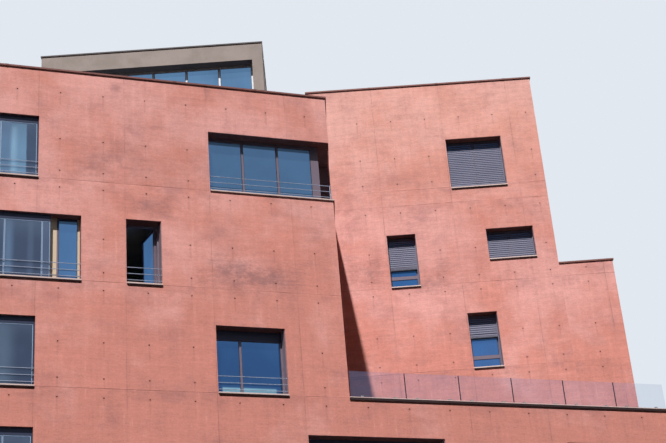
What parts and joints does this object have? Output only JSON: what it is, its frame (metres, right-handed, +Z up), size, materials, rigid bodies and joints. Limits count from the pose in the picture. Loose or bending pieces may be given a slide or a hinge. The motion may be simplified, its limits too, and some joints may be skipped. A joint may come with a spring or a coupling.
{
  "type": "apartment block",
  "caption": "Block of flats in red exposed concrete: a wing with a slanted front, a set-back tower over a terrace and a glazed roof pavilion.",
  "frame": {"origin": "middle of the footprint's bounding box, at ground level", "axes": "+Z up, +X along the tower's front to the right as seen from the street, +Y from the street into the block"},
  "size_m": [24.6096, 19.0919, 28.74],
  "materials": {
    "red_concrete": "matt exposed concrete",
    "grey_concrete": "matt concrete",
    "coping_metal": "satin",
    "frame_metal": "satin anodised",
    "sill_metal": "satin anodised",
    "window_glass": "clear",
    "lining_metal": "satin",
    "blind_metal": "satin",
    "trim_metal": "satin",
    "pavilion_render": "matt",
    "pavilion_metal": "satin",
    "door_metal": "satin"
  },
  "bodies": {
    "root": {"foundation_slab": "grey_concrete", "lower_front_wall": "red_concrete", "wing_front_wall": "red_concrete", "wing_side_wall": "red_concrete", "left_end_wall": "red_concrete", "wing_rear_wall": "red_concrete", "tower_rear_wall": "red_concrete", "right_wall": "red_concrete", "tower_front_wall": "red_concrete", "tower_left_wall": "red_concrete", "tower_right_wall": "red_concrete", "step_walls": "red_concrete", "lower_floor_slabs": "grey_concrete", "terrace_slab": "grey_concrete", "floor_slab_5": "grey_concrete", "floor_slab_6": "grey_concrete", "wing_roof_slab": "grey_concrete", "tower_top_floor": "grey_concrete", "tower_roof_slab": "grey_concrete", "step_roof_slab": "grey_concrete", "wing_coping": "coping_metal", "tower_coping": "coping_metal", "step_coping": "coping_metal", "terrace_edge": "coping_metal", "front_window_frames": "frame_metal", "front_window_glass": "window_glass", "reveal_linings": "lining_metal", "balcony_glass": "window_glass", "corner_window_frame": "frame_metal", "corner_window_glass": "window_glass", "open_casement": "frame_metal", "tower_window_frames": "frame_metal", "tower_window_glass": "window_glass", "plain_window_frames": "frame_metal", "plain_window_glass": "window_glass", "window_blinds": "blind_metal", "window_sills": "sill_metal", "guard_rails": "sill_metal", "terrace_balustrade": "window_glass", "pavilion_shell": "pavilion_render", "pavilion_trim": "trim_metal", "pavilion_frames": "pavilion_metal", "pavilion_glass": "window_glass", "entrance_frame": "frame_metal", "entrance_door": "door_metal"}
  },
  "joints": []
}
